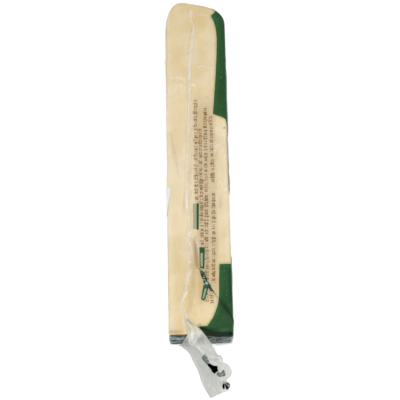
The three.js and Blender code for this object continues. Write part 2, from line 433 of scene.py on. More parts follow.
# The floor, the room and the soft boxes: place, size and power
FLOOR_DROP = 0.3 * MM
FLOOR_REACH = 3
FLOOR_GREY = (0.35, 0.35, 0.35, 1)
FLOOR_ROUGHNESS = 0.9
FLOOR_GLOW = 0.78
ROOM_LIGHT = 0.38
WHITE_LIGHT = (1, 1, 1, 1)
SOFT_BOXES = {
    "top_box": ((0.02, -0.1, 1.1), 1.1, 6.5),
    "left_box": ((-0.75, -0.15, 0.75), 0.7, 2.4),
    "right_box": ((0.75, -0.1, 0.75), 0.7, 1.8),
    "front_box": ((0, -0.85, 0.7), 0.7, 2.5),
}


def wheel_point(across, out, turn):
    """A point of the wheel: across it, out from its centre, turned up from the lower cut face."""
    return Vector((across, WHEEL_CENTRE.y - out * math.cos(turn), out * math.sin(turn)))


def wheel_places(points, normals):
    """How far out points of the wheel lie, how far turned up, and how much they face away from its centre."""
    level, height = WHEEL_CENTRE.y - points[:, 1], points[:, 2]
    turn = np.arctan2(height, level)
    facing = normals[:, 2] * np.sin(turn) - normals[:, 1] * np.cos(turn)
    return np.hypot(level, height), turn, facing


def on_bag(girth, out):
    """The point of the bag at a place round the girth and out from the wheel's centre, in millimetres."""
    reach, side = abs(girth) * MM, math.copysign(1, girth)
    out *= MM
    height = out * WEDGE_ANGLE
    if reach <= HALF_WIDTH:
        return wheel_point(side * reach, out, WEDGE_ANGLE)
    if reach <= HALF_WIDTH + height:
        return wheel_point(side * HALF_WIDTH, out, WEDGE_ANGLE - (reach - HALF_WIDTH) / out)
    return wheel_point(side * (2 * HALF_WIDTH + height - reach), out, 0)


def on_rind(across, down):
    """The point of the rind across the slab and down from its upper edge, in millimetres."""
    return wheel_point(across * MM, WHEEL_RADIUS, WEDGE_ANGLE - down * MM / WHEEL_RADIUS)


def film_places(points, normals):
    """Where points of the bag lie on its film: round the girth and out, in millimetres."""
    out, turn, facing = wheel_places(points, normals)
    down = out * (WEDGE_ANGLE - turn)
    across = np.abs(points[:, 0])
    girth = np.where(turn > WEDGE_ANGLE / 2, across + down, 2 * HALF_WIDTH + down - across)
    on_rind_end = facing > RIND_FACING
    girth = np.where(on_rind_end, across, girth)
    out = np.where(on_rind_end, out + down, out)
    return np.sign(points[:, 0]) * girth / MM, out / MM


def ramp(values, low, high):
    """A straight rise from nought to one as values go from low to high."""
    return np.clip((values - low) / (high - low), 0, 1)


def smooth_path(points, per_span=8):
    """A smooth open curve through points, as an array."""
    knots = np.array(points, float)
    knots = np.vstack([2 * knots[0] - knots[1], knots, 2 * knots[-1] - knots[-2]])
    t = np.linspace(0, 1, per_span, endpoint=False)[:, None]
    spans = []
    for a, b, c, d in zip(knots, knots[1:], knots[2:], knots[3:]):
        spans.append(0.5 * (2 * b + (c - a) * t + (2 * a - 5 * b + 4 * c - d) * t**2
                            + (3 * b - a - 3 * c + d) * t**3))
    return np.vstack(spans + [knots[-2:-1]])


def path_at(path, share):
    """The point at a share of the way along a path's list of points."""
    place = share * (len(path) - 1)
    index = min(int(place), len(path) - 2)
    return Vector(path[index]).lerp(Vector(path[index + 1]), place - index)


def depth_inside(points, outline):
    """How deep points lie inside a closed outline, and below nought outside it."""
    outline = np.array(outline, float)
    nearest = np.full(len(points), np.inf)
    inside = np.zeros(len(points), bool)
    for start, end in zip(outline, np.roll(outline, -1, axis=0)):
        way = end - start
        share = np.clip((points - start) @ way / max(way @ way, TINY), 0, 1)
        nearest = np.minimum(nearest, np.linalg.norm(points - start - share[:, None] * way, axis=1))
        spans = (start[1] > points[:, 1]) != (end[1] > points[:, 1])
        rise = way[1] if abs(way[1]) > TINY else TINY
        inside ^= spans & (points[:, 0] < start[0] + (points[:, 1] - start[1]) * way[0] / rise)
    return np.where(inside, nearest, -nearest)


def deepest_inside(points, outlines):
    """How deep points lie inside the nearest of several outlines."""
    return np.max([depth_inside(points, outline) for outline in outlines], axis=0)


def near_path(points, path):
    """How far points lie from an open path, and the share of the way along it where they are nearest."""
    path = np.array(path, float)
    nearest, along = np.full(len(points), np.inf), np.zeros(len(points))
    for index, (start, end) in enumerate(zip(path, path[1:])):
        way = end - start
        share = np.clip((points - start) @ way / (way @ way), 0, 1)
        distance = np.linalg.norm(points - start - share[:, None] * way, axis=1)
        closer = distance < nearest
        nearest = np.where(closer, distance, nearest)
        along = np.where(closer, (index + share) / (len(path) - 1), along)
    return nearest, along


def soft_line(points, path, wide):
    """One along the middle of a path, fading to its sides and ends."""
    distance, along = near_path(points, path)
    return np.exp(-((distance / wide) ** 2)) * np.clip(4 * along * (1 - along), 0, 1) ** 0.5


def soft_lines(points, ways, wide):
    """The strongest of several smooth soft lines."""
    return np.max([soft_line(points, smooth_path(way), wide) for way in ways], axis=0)


def read_points(mesh, what="co"):
    """The mesh's points, or their normals, as an array."""
    values = np.zeros(len(mesh.vertices) * 3, np.float32)
    mesh.vertices.foreach_get(what, values)
    return values.reshape(-1, 3).astype(float)


def write_points(mesh, points):
    """Moves the mesh's points."""
    mesh.vertices.foreach_set("co", points.astype(np.float32).ravel())
    mesh.update()


def add_values(mesh, **values):
    """Stores named values with the mesh's points."""
    for name, numbers in values.items():
        layer = mesh.attributes.new(name, "FLOAT", "POINT")
        layer.data.foreach_set("value", numbers.astype(np.float32))


def to_mesh(bm, name):
    """A finished bmesh as a mesh."""
    mesh = bpy.data.meshes.new(name)
    bm.to_mesh(mesh)
    bm.free()
    return mesh


def put_in_scene(name, data):
    """A new object in the scene."""
    thing = bpy.data.objects.new(name, data)
    bpy.context.scene.collection.objects.link(thing)
    return thing


def make_piece(name, mesh, material):
    """Puts a finished mesh in the scene as a piece of the pack."""
    piece = put_in_scene(name, mesh)
    mesh.materials.append(material)
    mesh.polygons.foreach_set("use_smooth", [True] * len(mesh.polygons))
    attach(piece, "root")
    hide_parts("sealed_pack")
    return piece


class Finish:
    """A material, with short ways to make its nodes and join them."""

    def __init__(self, name):
        self.material = bpy.data.materials.new(name)
        self.material.use_nodes = True
        self.tree = self.material.node_tree
        self.tree.nodes.clear()
        self.output = self.node("ShaderNodeOutputMaterial")

    def node(self, kind, inputs=None, **settings):
        """A node with its settings, and its inputs set or joined."""
        made = self.tree.nodes.new(kind)
        for name, value in settings.items():
            setattr(made, name, value)
        for name, value in (inputs or {}).items():
            if isinstance(value, bpy.types.NodeSocket):
                self.tree.links.new(value, made.inputs[name])
            else:
                made.inputs[name].default_value = value
        return made

    def math(self, operation, *values, clamp=False):
        """The result of one sum."""
        made = self.node("ShaderNodeMath", dict(enumerate(values)), operation=operation, use_clamp=clamp)
        return made.outputs[0]

    def times(self, first, *others):
        """Values multiplied together."""
        for other in others:
            first = self.math("MULTIPLY", first, other)
        return first

    def most(self, first, *others):
        """The largest of several values."""
        for other in others:
            first = self.math("MAXIMUM", first, other)
        return first

    def step(self, value, low, high, least=0.0, most=1.0):
        """A soft step from least to most as value goes from low to high."""
        inputs = {"Value": value, "From Min": low, "From Max": high, "To Min": least, "To Max": most}
        return self.node("ShaderNodeMapRange", inputs, interpolation_type="SMOOTHSTEP").outputs[0]

    def blend(self, share, first, second):
        """Two colours mixed."""
        made = self.node("ShaderNodeMix", {0: share, 6: first, 7: second}, data_type="RGBA")
        return made.outputs[2]

    def paint(self, colour, *coats):
        """A colour with coats over it, each given as its share and its colour."""
        for share, coat in coats:
            colour = self.blend(share, colour, coat)
        return colour

    def place(self, stretch=(1, 1, 1)):
        """Object coordinates, with a pattern's scale along each axis."""
        made = self.node("ShaderNodeTexCoord")
        return self.node("ShaderNodeMapping", {"Vector": made.outputs["Object"], "Scale": stretch}).outputs[0]

    def mottle(self, place, scale, detail=3.0, roughness=0.55):
        """Soft uneven patches, from nought to one."""
        inputs = {"Vector": place, "Scale": scale, "Detail": detail, "Roughness": roughness}
        return self.node("ShaderNodeTexNoise", inputs).outputs["Fac"]

    def stored(self, name):
        """Values stored with the mesh."""
        return self.node("ShaderNodeAttribute", attribute_name=name).outputs["Fac"]

    def bump(self, height, distance, strength):
        """The surface's normal, tilted by fine relief."""
        inputs = {"Height": height, "Distance": distance, "Strength": strength}
        return self.node("ShaderNodeBump", inputs).outputs[0]

    def coat(self, kind, inputs=None):
        """One kind of surface."""
        return self.node("ShaderNodeBsdf" + kind, inputs).outputs[0]

    def lay_over(self, share, first, second):
        """A share of a second surface over the first."""
        return self.node("ShaderNodeMixShader", {0: share, 1: first, 2: second}).outputs[0]

    def show(self, surface):
        """The material, with its finished surface."""
        self.tree.links.new(surface, self.output.inputs["Surface"])
        return self.material


def paste_colour(finish, grain):
    """Pale dense paste with soft patches, clouds of bloom, fine grain and a few brown specks."""
    place = finish.place()
    streaks = finish.step(finish.mottle(finish.place((110, 30, 60)), scale=1, detail=4), 0.42, 0.7, 0, 0.2)
    clouds = finish.step(finish.mottle(place, scale=140, detail=4, roughness=0.6), 0.44, 0.66, 0, 0.16)
    bloom = finish.math("ADD", finish.math("ADD", finish.stored("bloom"), streaks), clouds, clamp=True)
    crumbs = finish.node("ShaderNodeTexVoronoi", {"Vector": place, "Scale": 200}).outputs
    near = finish.step(crumbs["Distance"], 0.03, 0.09, 1, 0)
    chance = finish.node("ShaderNodeSeparateColor", {"Color": crumbs["Color"]}).outputs[0]
    return finish.paint(
        PASTE_DEEP,
        (finish.step(finish.mottle(place, scale=55), 0.38, 0.66), PASTE_PALE),
        (bloom, PASTE_BLOOM),
        (finish.step(grain, 0.52, 0.7, 0, 0.22), PASTE_GRAIN),
        (finish.times(near, 0.5, finish.math("GREATER_THAN", chance, 0.8)), PASTE_SPECK),
        (finish.times(finish.stored("under_rind"), 0.4), PASTE_BY_RIND),
    )


def rind_colour(finish):
    """Thin black rind, scuffed and green in places, with brown flakes, and painted shade along its upper
    edge.
    """
    tall = finish.place((1, 1, 0.35))
    return finish.paint(
        RIND_BLACK,
        (finish.step(finish.mottle(tall, scale=400, detail=4, roughness=0.65), 0.44, 0.56), RIND_SCUFF),
        (finish.step(finish.mottle(tall, scale=260), 0.54, 0.58, 0, 0.85), RIND_GREEN),
        # painted shade along the rind's upper edge
        (finish.times(finish.stored("rind_top"), 0.6), RIND_UPPER_EDGE),
        (finish.step(finish.mottle(tall, scale=560, detail=2), 0.62, 0.67, 0, 0.7), RIND_FLAKE),
    )


def cheese_finish():
    """Dull fine-grained cheese, with the rind on its round end."""
    finish = Finish("cheese_paste_and_rind")
    place = finish.place()
    grain = finish.mottle(place, scale=1500, detail=4, roughness=0.7)
    rind = finish.step(finish.stored("rind"), 0.45, 0.6)
    relief = finish.math("ADD", grain, finish.times(finish.mottle(place, scale=420), 1.5))
    return finish.show(finish.coat("Principled", {
        "Base Color": finish.blend(rind, paste_colour(finish, grain), rind_colour(finish)),
        "Roughness": finish.step(grain, 0.3, 0.7, 0.5, 0.68),
        "Specular IOR Level": 0,
        "Normal": finish.bump(relief, distance=0.05 * MM, strength=0.6),
    }))


def film_finish(finish, milk_colour, milk, roughness, normal, ink_colour=None, ink=None, ink_shine=0,
                shine=FILM_SHINE, lets_through=FILM_LETS_THROUGH):
    """Clear glossy film, turned milky by a share, with an opaque coat over it: ink where there is print, and
    painted shade on the tail.
    """
    gloss = finish.coat("Anisotropic", {"Roughness": roughness, "Normal": normal})
    slant = finish.node("ShaderNodeLayerWeight", {"Blend": 0.5, "Normal": normal}).outputs["Facing"]
    shiny = finish.math("MULTIPLY_ADD", finish.math("POWER", slant, 4), FILM_EDGE_SHINE, shine)
    window = finish.lay_over(shiny, finish.coat("Transparent"), gloss)
    sent_back = finish.coat("Principled", {
        "Base Color": milk_colour, "Roughness": roughness, "IOR": FILM_INDEX, "Normal": normal,
    })
    let_through = finish.coat("Translucent", {"Color": milk_colour, "Normal": normal})
    film = finish.lay_over(milk, window, finish.lay_over(lets_through, sent_back, let_through))
    if ink is None:
        return finish.show(film)
    print_coat = finish.coat("Principled", {
        "Base Color": ink_colour, "Roughness": roughness, "Specular IOR Level": ink_shine, "Normal": normal,
    })
    return finish.show(finish.lay_over(ink, film, print_coat))


def stroke_rows(finish, girth, out):
    """Rows of short strokes: some reach up or down, some are open in the middle, some are left bare."""
    stroke = finish.math("FLOOR", finish.math("DIVIDE", out, STROKE_STEP))
    rows = []
    for row, ((first, start), (last, end)) in enumerate(STROKE_ROWS):
        lean = (last - first) / (end - start)
        middle = finish.math("MULTIPLY_ADD", out, lean, first - lean * start)
        offset = finish.math("SUBTRACT", girth, middle)
        seed = finish.math("ADD", stroke, ROW_DRAWS * row)
        draws = finish.node("ShaderNodeTexWhiteNoise", {"W": seed}, noise_dimensions="1D").outputs["Color"]
        tall, deep, kind = finish.node("ShaderNodeSeparateColor", {"Color": draws}).outputs
        tall = finish.math("GREATER_THAN", tall, TALL_FROM)
        deep = finish.math("GREATER_THAN", deep, DEEP_FROM)
        top = finish.math("MULTIPLY_ADD", tall, -STROKE_REACH, -STROKE_HALF_HEIGHT)
        foot = finish.math("MULTIPLY_ADD", deep, STROKE_REACH, STROKE_HALF_HEIGHT)
        by_edge = finish.math("GREATER_THAN", finish.math("ABSOLUTE", offset), STROKE_OPENING)
        shifted = finish.math("ADD", out, ROW_SHIFT * row)
        group = finish.math("FRACT", finish.math("DIVIDE", shifted, GROUP_STEP))
        rows.append(finish.times(
            finish.most(by_edge, finish.math("LESS_THAN", kind, OPEN_FROM)),
            finish.math("GREATER_THAN", offset, top), finish.math("LESS_THAN", offset, foot),
            finish.math("GREATER_THAN", kind, BARE_TO), finish.math("LESS_THAN", group, GROUP_SHARE),
            finish.math("GREATER_THAN", out, start), finish.math("LESS_THAN", out, end),
        ))
    return finish.most(*rows)


def stroke_tint(finish, girth, out):
    """The faint brown tint of the film round the rows of strokes."""
    edges = [finish.step(girth, *edge) for edge in TINT_EDGES_ROUND]
    return finish.times(*edges, *(finish.step(out, *edge) for edge in TINT_EDGES_OUT))


def green_colour(finish, out, depth, crease):
    """The green print: patchy and flecked, with painted sheen along its edge and in its folds, and painted
    shade by the rind, in its crease and in the shades.
    """
    place = finish.place()
    return finish.paint(
        GREEN_DEEP,
        (finish.mottle(place, scale=75), GREEN_PALE),
        # brighter along the green's edge: the film's haze and painted sheen
        (finish.step(depth, 0.2, 2.6, 0.4, 0), GREEN_EDGE),
        (finish.step(finish.mottle(place, scale=1100, detail=2), 0.64, 0.7, 0, 0.5), GREEN_FLECK),
        # paler in the folds: the film's milk there and painted reflection
        (finish.times(finish.stored("fold"), 0.5), GREEN_FOLD),
        # painted shade where the green turns over the rind's edge
        (finish.step(out, *GREEN_DARK_FADE, 0, 0.95), GREEN_SHADE),
        # painted shade in the crease
        (finish.times(crease, 0.7), GREEN_IN_CREASE),
        # painted shade along the shade paths
        (finish.stored("shade"), GREEN_SHADE),
    )


def crease_colour(finish, out):
    """The print gathered in the crease: black, green and silver bits, then dull grey towards the rind."""
    place = finish.place()
    return finish.paint(
        CREASE_BLACK,
        (finish.step(finish.mottle(place, scale=1500, detail=2), 0.5, 0.58), CREASE_GREEN),
        (finish.step(finish.mottle(place, scale=1250, detail=2), 0.57, 0.63), CREASE_SILVER),
        (finish.step(out, *CREASE_TURNS_GREY), CREASE_GREY),
    )


def printed_film_finish():
    """Clear tight film, milky along its folds, with fields of green and white print and painted shades."""
    finish = Finish("printed_film")
    girth, out, depth = finish.stored("girth"), finish.stored("out"), finish.stored("green")
    strokes = stroke_rows(finish, girth, out)
    fringe = finish.step(depth, *FRINGE_EDGE)
    inks = [
        finish.times(fringe, FRINGE_STRENGTH), finish.times(stroke_tint(finish, girth, out), TINT_STRENGTH),
        finish.stored("shade"), finish.times(strokes, STROKE_STRENGTH),
    ]
    fields = {}
    for name, (soft, strength) in PRINT_FIELDS.items():
        fields[name] = finish.step(finish.stored(name), -soft, soft)
        inks.append(finish.times(fields[name], strength))
    colour = finish.paint(
        SHADE_BROWN,
        # painted shade turns grey by the sides
        (finish.step(finish.math("ABSOLUTE", girth), *SHADE_TURNS_GREY), SHADE_GREY),
        (fringe, FRINGE_GREEN),
        (strokes, STROKE_BROWN),
        (fields["bars"], BAR_GREEN),
        (fields["pale_bars"], BAR_PALE),
        (fields["crease"], crease_colour(finish, out)),
        (fields["white"], PANEL_WHITE),
        (fields["green"], green_colour(finish, out, depth, fields["crease"])),
    )
    place = finish.place()
    on_rind_end = finish.step(out, *RIND_MILK_FADE)
    wrinkles = finish.mottle(finish.place((1, 1, 0.5)), scale=260, roughness=0.6)
    wrinkles = finish.step(wrinkles, 0.5, 0.58, 0.01, 0.11)
    milk = finish.math("MULTIPLY_ADD", wrinkles, on_rind_end, finish.stored("fold"), clamp=True)
    milk_colour = finish.blend(on_rind_end, MILK_WHITE, MILK_ON_RIND)
    roughness = finish.step(finish.mottle(place, scale=75), 0.3, 0.7, 0.18, 0.32)
    ripple = finish.bump(finish.mottle(place, scale=200, roughness=0.5), distance=0.2 * MM, strength=0.3)
    return film_finish(finish, milk_colour, milk, roughness, ripple, colour, finish.most(*inks), INK_SHINE)


def seam_finish():
    """The seam's doubled film: smooth and milky, whiter along its pressed lines and where it is gathered."""
    finish = Finish("seam_film")
    cloud = finish.mottle(finish.place((260, 110, 260)), scale=1)
    milk = finish.times(finish.stored("milk"), finish.step(cloud, 0.35, 0.65, 0.6, 1.3))
    milk_colour = finish.blend(finish.step(milk, 0.1, 0.3), SEAM_THIN_MILK, SEAM_FULL_MILK)
    ripple = finish.bump(finish.mottle(finish.place(), scale=300), distance=0.15 * MM, strength=0.3)
    roughness = finish.step(cloud, 0.3, 0.7, 0.4, 0.52)
    return film_finish(finish, milk_colour, milk, roughness, ripple, shine=SEAM_SHINE)


def tail_finish():
    """Loose film, greyish where it stands off the cheese, the grey partly painted shade of the table under
    it, with dark patches of painted shade by its ridge.
    """
    finish = Finish("tail_film")
    place = finish.place()
    cloud = finish.mottle(place, scale=130, detail=4, roughness=0.6)
    # whiteness of the tail's milk, with painted light, highlight and shade in it
    whiteness = finish.stored("whiteness")
    milk = finish.math("MULTIPLY_ADD", whiteness, 0.2, finish.step(cloud, 0.3, 0.7, 0.5, 0.58))
    milk = finish.times(milk, finish.math("SUBTRACT", 1, finish.stored("clear")))
    # grey milk, partly painted shade of the table under the tail
    milk_colour = finish.blend(whiteness, TAIL_GREY_MILK, TAIL_WHITE_MILK)
    # painted shade: grey and black patches where the tail's folds open
    grey = finish.step(finish.stored("grey_mark"), -0.15, 0.15)
    rubbed = finish.step(finish.mottle(place, scale=480, roughness=0.6), 0.45, 0.58, 0.98, 0.5)
    black = finish.step(finish.stored("black_mark"), -0.12, 0.12)
    ink = finish.most(finish.times(grey, rubbed), black)
    ink_colour = finish.blend(black, MARK_GREY, MARK_BLACK)
    ripple = finish.bump(finish.mottle(place, scale=300), distance=0.2 * MM, strength=0.3)
    roughness = finish.step(cloud, 0.3, 0.7, 0.25, 0.4)
    return film_finish(finish, milk_colour, milk, roughness, ripple, ink_colour, ink,
                       lets_through=TAIL_LETS_THROUGH)


def cut_wedge():
    """The slab's outline on its lower cut face, spun about the wheel's axis to the upper one, and rounded."""
    bm = bmesh.new()
    bmesh.ops.create_grid(bm, x_segments=1, y_segments=1, size=1)
    bmesh.ops.scale(bm, vec=(TIP_HALF_WIDTH, WEDGE_LENGTH / 2, 1), verts=bm.verts)
    for corner in bm.verts:
        if corner.co.y < 0:
            corner.co.x = math.copysign(RIND_HALF_WIDTH, corner.co.x)
    tip_left = min(bm.verts, key=lambda v: v.co.x - v.co.y)
    tip_right = max(bm.verts, key=lambda v: v.co.x + v.co.y)
    tip_left.co.y += TIP_ALLOWANCE
    tip_right.co.y += TIP_ALLOWANCE - TIP_SLANT
    for corner, (across, along) in ((tip_left, TIP_LEFT_CORNER), (tip_right, TIP_RIGHT_CORNER)):
        bmesh.ops.scale(bm, vec=(1, across / along, 1), verts=bm.verts)
        bmesh.ops.bevel(bm, geom=[corner], offset=across, segments=CORNER_SEGMENTS, profile=0.5,
                        affect="VERTICES", material=-1)
        bmesh.ops.scale(bm, vec=(1, along / across, 1), verts=bm.verts)
    bmesh.ops.delete(bm, geom=bm.faces[:], context="FACES_ONLY")
    bmesh.ops.spin(bm, geom=bm.verts[:] + bm.edges[:], cent=WHEEL_CENTRE, axis=(1, 0, 0),
                   angle=-WEDGE_ANGLE, steps=SPIN_STEPS)
    bmesh.ops.holes_fill(bm, edges=[e for e in bm.edges if e.is_boundary], sides=0)
    bmesh.ops.recalc_face_normals(bm, faces=bm.faces[:])
    blank = put_in_scene("wedge_blank", to_mesh(bm, "wedge_blank"))
    grain = blank.modifiers.new("even_grain", "REMESH")
    grain.mode = "VOXEL"
    grain.voxel_size = SKIN_GRAIN
    rounding = blank.modifiers.new("rounding", "SMOOTH")
    rounding.factor = SMOOTHING_STRENGTH
    rounding.iterations = SKIN_SMOOTHING
    shaped = bpy.data.meshes.new_from_object(blank.evaluated_get(bpy.context.evaluated_depsgraph_get()))
    bpy.data.objects.remove(blank)
    return shaped


def pale_bloom(girth, out):
    """How much paler the cheese looks where the film doesn't cling to it."""
    reach = np.abs(girth)
    rim = ramp(np.abs(reach - SIDE_START + RIM_INSET), *RIM_FADE)
    right_half = ramp(girth, *RIGHT_FADE) * (girth < SIDE_START)
    beside = ramp(reach, SIDE_START, SIDE_START + SIDE_FADE)
    lengthwise = np.interp(out, BLOOM_PLACES, BLOOM)
    return lengthwise + RIM_BLOOM * rim + RIGHT_BLOOM * right_half + SIDE_BLOOM * beside


def cheese_relief(point):
    """How uneven the cheese is at a point: broad dips and fine crumb."""
    return noise.fractal(point * UNEVEN_GRAIN, 1, 2, 3) + CRUMB_SHARE * noise.noise(point * CRUMB_GRAIN)


def cheese_wedge(blank):
    """The cheese: just under the film, a little uneven, with its rind on the round end."""
    mesh = blank.copy()
    points, normals = read_points(mesh), read_points(mesh, "normal")
    out, turn, facing = wheel_places(points, normals)
    inward = WHEEL_RADIUS - out
    below_top = WHEEL_RADIUS * (WEDGE_ANGLE - turn)
    round_edge = ramp(facing, *RIND_EDGE_FACING) * (below_top > RIND_TOP_SHADE)
    uneven = np.clip([cheese_relief(Vector(point)) for point in points], -1, 1)
    gap = (FILM_GAP - CHEESE_UNEVEN * uneven) * (1 - RIND_CLING * round_edge)
    write_points(mesh, points - normals * gap[:, None])
    add_values(
        mesh,
        rind=np.maximum(ramp(inward, 2 * RIND_DEPTH, 0), round_edge),
        # painted shade along the rind's upper edge
        rind_top=ramp(below_top, *RIND_TOP_FADE),
        under_rind=ramp(inward, RIND_SHADE, 0) ** 2,
        bloom=pale_bloom(*film_places(points, normals)),
    )
    make_piece("cheese_wedge", mesh, cheese_finish())


def face_fold(dice):
    """A faint short stretch line on the upper face, mostly lengthwise."""
    middle, out = dice.uniform(-11, 9), dice.uniform(26, 168)
    reach = dice.uniform(2, 9)
    lean = dice.gauss(0, 0.35)
    bend = dice.uniform(-0.5, 0.5)
    path = [(middle - lean * reach, out - reach), (middle + bend, out), (middle + lean * reach, out + reach)]
    height, width, white = dice.uniform(0.03, 0.09), dice.uniform(0.5, 1), dice.uniform(0.04, 0.14)
    return path, height, width, white


def side_fold(dice):
    """A fold that runs down one of the flat sides from its upper edge."""
    side = dice.choice((-1, 1))
    out = dice.uniform(40, 168)
    depth = out * WEDGE_ANGLE
    start = dice.uniform(1, 0.5 * depth)
    end = start + dice.uniform(0.2, 0.5) * depth
    lean = dice.uniform(-14, 14)
    bend = dice.uniform(-2, 2)
    path = [(start, out), ((start + end) / 2, out + lean / 2 + bend), (end, out + lean)]
    path = [(side * (SIDE_START + down), along) for down, along in path]
    height, width, white = dice.uniform(0.12, 0.4), dice.uniform(0.5, 0.9), dice.uniform(0.1, 0.4)
    return path, height, width, white


def rind_fold(dice):
    """A short fold across the rind."""
    middle = dice.uniform(-12, 12)
    down = dice.uniform(1, 56)
    reach = dice.uniform(3, 9)
    lean = dice.uniform(-2, 2)
    path = [on_rind(middle + reach * share, down + lean * share) for share in (-1, -0.4, 0.3, 1)]
    height, width, white = dice.uniform(0.15, 0.45), dice.uniform(0.6, 1.6), dice.uniform(0, 0.2)
    return path, height, width, white


def fold_lines():
    """Every fold of the tight film, as a path in space with its height, width and whiteness."""
    dice = random.Random(FOLD_SEED)
    flat = FOLDS + [face_fold(dice) for _ in range(FACE_FOLDS)] + [side_fold(dice) for _ in range(SIDE_FOLDS)]
    folds = [([on_bag(*place) for place in smooth_path(path, per_span=4)], *rest) for path, *rest in flat]
    pull, *rest = RIND_PULL
    folds.append(([on_rind(*place) for place in pull], *rest))
    return folds + [rind_fold(dice) for _ in range(RIND_FOLDS)]


def raise_folds(points):
    """How far the film stands up at its folds, in metres, and how white it is there."""
    height, haze = np.zeros(len(points)), np.zeros(len(points))
    for path, tall, wide, white in fold_lines():
        profile = soft_line(points, path, wide * MM)
        height = np.maximum(height, tall * MM * profile)
        haze = np.maximum(haze, white * profile)
    return height, haze


def film_relief(points, normals, out):
    """How far the tight film stands off, flat where it lies on the table, and how white its folds are."""
    height, haze = raise_folds(points)
    ripple = np.array([noise.fractal(Vector(point * RIPPLE_GRAIN), 1, 2, 2) for point in points])
    height += RIPPLE_HEIGHT * np.clip(1 + ripple, 0, 2)
    waves = np.array([noise.fractal(Vector(point) * RIND_WAVE_GRAIN, 1, 2, 2) for point in points])
    on_rind_end = out > RIND_START
    height += np.where(on_rind_end, RIND_WAVE_HEIGHT * np.clip(1 - 2 * np.abs(waves), 0, 1), 0)
    height *= np.where(on_rind_end, np.clip(points[:, 2] / RIND_TIGHT_FOOT, RIND_LEAST_SLACK, 1), 1)
    return height * ramp(normals[:, 2], *LYING_FACING), haze


def green_outline():
    """The green field: the tip's band, the window on the right side and the field by the rind."""
    tip_out, rind_out = GREEN_TIP_EDGE[0][1], GREEN_RIND_EDGE[-1][1]
    under = [(SIDE_START + out * WEDGE_ANGLE + WRAP_UNDER, out) for out in (rind_out, tip_out)]
    return np.vstack([
        GREEN_TIP_EDGE, smooth_path(GREEN_TIP_CURVE), smooth_path(GREEN_WINDOW_CURVE),
        smooth_path(GREEN_RIND_CURVE), GREEN_RIND_EDGE, under,
    ])


def badge_depth(places):
    """How deep places lie in the plain oval badge on the right side."""
    scaled = (places - BADGE_MIDDLE) / BADGE_REACH
    return (1 - np.linalg.norm(scaled, axis=1)) * min(BADGE_REACH)


def panel_depth(places):
    """How deep places lie in the white panel on the left side, which has round corners."""
    turned = places - WHITE_PANEL_MIDDLE
    cos, sin = math.cos(WHITE_PANEL_TURN), math.sin(WHITE_PANEL_TURN)
    turned = np.stack([turned[:, 0] * cos - turned[:, 1] * sin, turned[:, 0] * sin + turned[:, 1] * cos], 1)
    past = np.abs(turned) - (np.array(WHITE_PANEL_REACH) - WHITE_PANEL_CORNER)
    outside = np.linalg.norm(np.maximum(past, 0), axis=1) + np.minimum(past.max(axis=1), 0)
    return WHITE_PANEL_CORNER - outside


def print_values(girth, out):
    """How deep places of the film lie in each field of print and in the crease, and how much painted shade
    they carry.
    """
    places = np.stack([girth, out], 1)
    crease_width = np.interp(out, CREASE_PLACES, CREASE_HALF_WIDTHS)
    shades = [share * soft_line(places, smooth_path(way), wide) for way, wide, share in SHADES]
    return {
        "crease": crease_width - near_path(places, smooth_path(PRINT_CREASE))[0],
        "shade": np.max(shades, axis=0),
        "green": np.maximum(depth_inside(places, green_outline()), badge_depth(places)),
        "white": panel_depth(places),
        "bars": deepest_inside(places, GREEN_BARS),
        "pale_bars": deepest_inside(places, PALE_BARS),
    }


def film_skin(blank):
    """The tight film, with its folds, its print and the haze round its rind."""
    mesh = blank.copy()
    points, normals = read_points(mesh), read_points(mesh, "normal")
    girth, out = film_places(points, normals)
    relief, haze = film_relief(points, normals, out)
    write_points(mesh, points + normals * relief[:, None])
    rind_rim = ramp(out, *RIND_RIM_FADE) * (np.abs(girth) > RIND_RIM_SIDE)
    rind_rim *= points[:, 2] > RIND_TIGHT_FOOT
    fold = np.maximum(haze, RIND_RIM_HAZE * rind_rim)
    add_values(mesh, girth=girth, out=out, fold=fold, **print_values(girth, out))
    make_piece("film_skin", mesh, printed_film_finish())


def laid_grid(name, steps, place):
    """A grid of film laid by place(across, along), with across from -1 to 1 and along from 0 to 1."""
    bm = bmesh.new()
    bmesh.ops.create_grid(bm, x_segments=steps[0], y_segments=steps[1], size=1)
    lay = []
    for vertex in bm.verts:
        across, along = vertex.co.x, (vertex.co.y + 1) / 2
        lay.append((across, along))
        vertex.co = place(across, along)
    return to_mesh(bm, name), np.array(lay)


def make_sheet(name, mesh, material):
    """Makes a laid grid a piece of film of even thickness."""
    wall = make_piece(name, mesh, material).modifiers.new("film_thickness", "SOLIDIFY")
    wall.thickness = FILM_THICKNESS
    wall.offset = 0


def seam_lines(across):
    """How near a place across the seam is to one of its two pressed lines, by share."""
    return sum(share * np.exp(-(((across - line) / SEAM_LINE_WIDTH) ** 2)) for line, share in SEAM_LINES)


